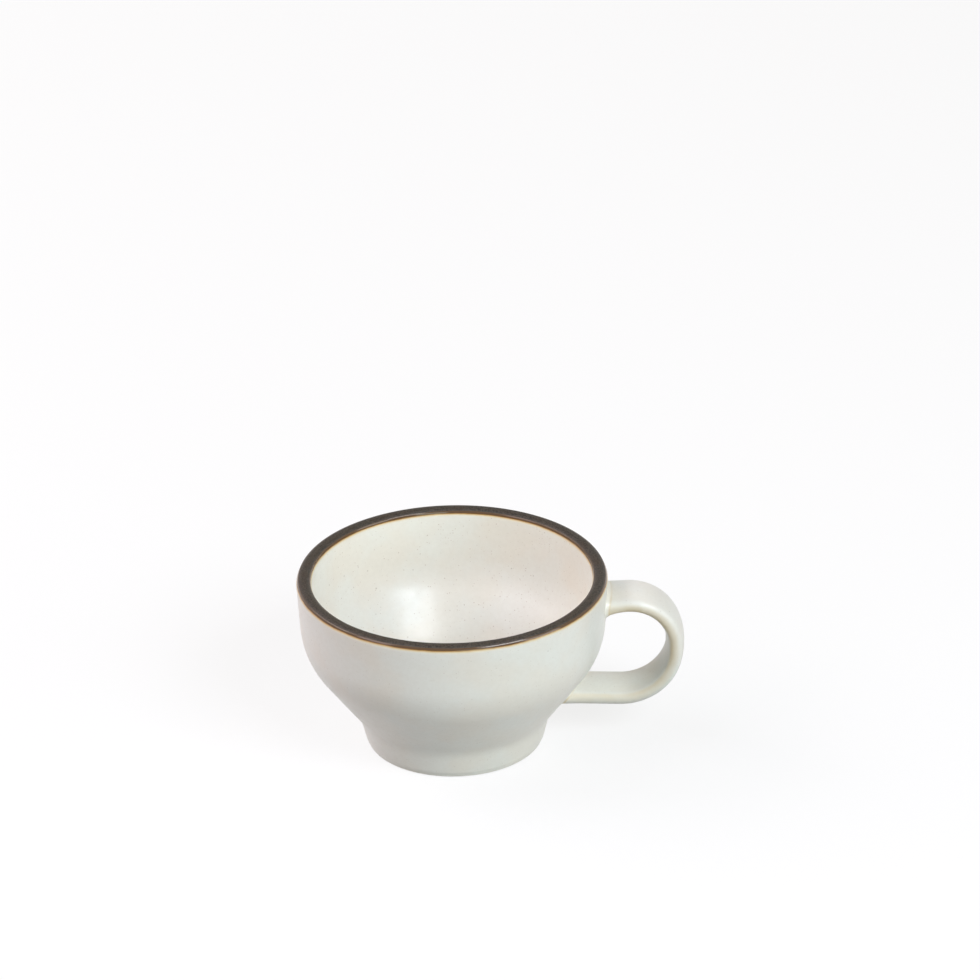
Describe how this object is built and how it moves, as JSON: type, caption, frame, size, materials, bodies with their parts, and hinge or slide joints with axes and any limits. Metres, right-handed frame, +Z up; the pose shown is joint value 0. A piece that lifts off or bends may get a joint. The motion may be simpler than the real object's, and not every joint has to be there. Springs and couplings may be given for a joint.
{
  "type": "espresso cup",
  "caption": "Low stoneware espresso cup: wide mouth with a bare dark lip, rounded belly narrowing to a waisted foot, strap handle luted to the wall, satin off-white glaze.",
  "frame": {"origin": "the middle of the foot, on the table, on the bowl's axis", "axes": "+Z up along the bowl's axis, +X towards the handle"},
  "size_m": [0.0951, 0.0764, 0.045],
  "materials": {
    "dark_clay": "bare vitrified dark brown stoneware, fine grain, satin where it is wiped at the lip",
    "off_white_glaze": "satin off-white glaze with faint specks, amber where it thins at its edges",
    "glazed_slip": "satin glaze over clay slip, cream to amber where it runs thin"
  },
  "bodies": {
    "root": {"bowl": "dark_clay", "handle": "dark_clay", "upper_slip_joint": "glazed_slip", "lower_slip_joint": "glazed_slip", "outer_glaze": "off_white_glaze", "inner_glaze": "off_white_glaze", "base_glaze": "off_white_glaze", "handle_glaze": "off_white_glaze"}
  },
  "joints": []
}
